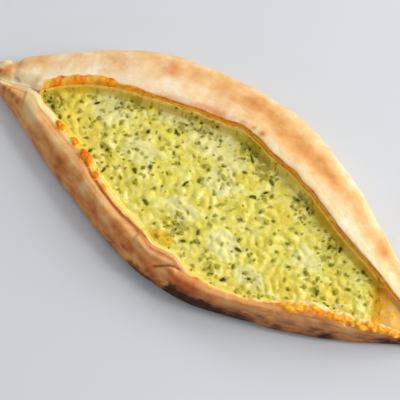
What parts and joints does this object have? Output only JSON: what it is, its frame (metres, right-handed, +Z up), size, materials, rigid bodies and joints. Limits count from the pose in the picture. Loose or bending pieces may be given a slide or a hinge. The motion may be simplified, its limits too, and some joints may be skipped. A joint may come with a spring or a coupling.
{
  "type": "cheese and herb manakish",
  "caption": "Boat-shaped baked flatbread with pinched tips: its folded dough rim holds an open filling of melted cheese and chopped parsley.",
  "frame": {"origin": "centre of the flat underside", "axes": "+X along the boat towards the tip with the bare inner corner, +Y towards the wide folded flap, +Z up"},
  "size_m": [0.262, 0.1126, 0.0242],
  "materials": {
    "crust": "baked bread dough: cream to tan on top, orange at the lips, browned and scorched along the base",
    "filling": "melted yellow cheese full of chopped parsley, with a soft moist sheen"
  },
  "bodies": {
    "root": {"crust": "crust", "filling": "filling"}
  },
  "joints": []
}
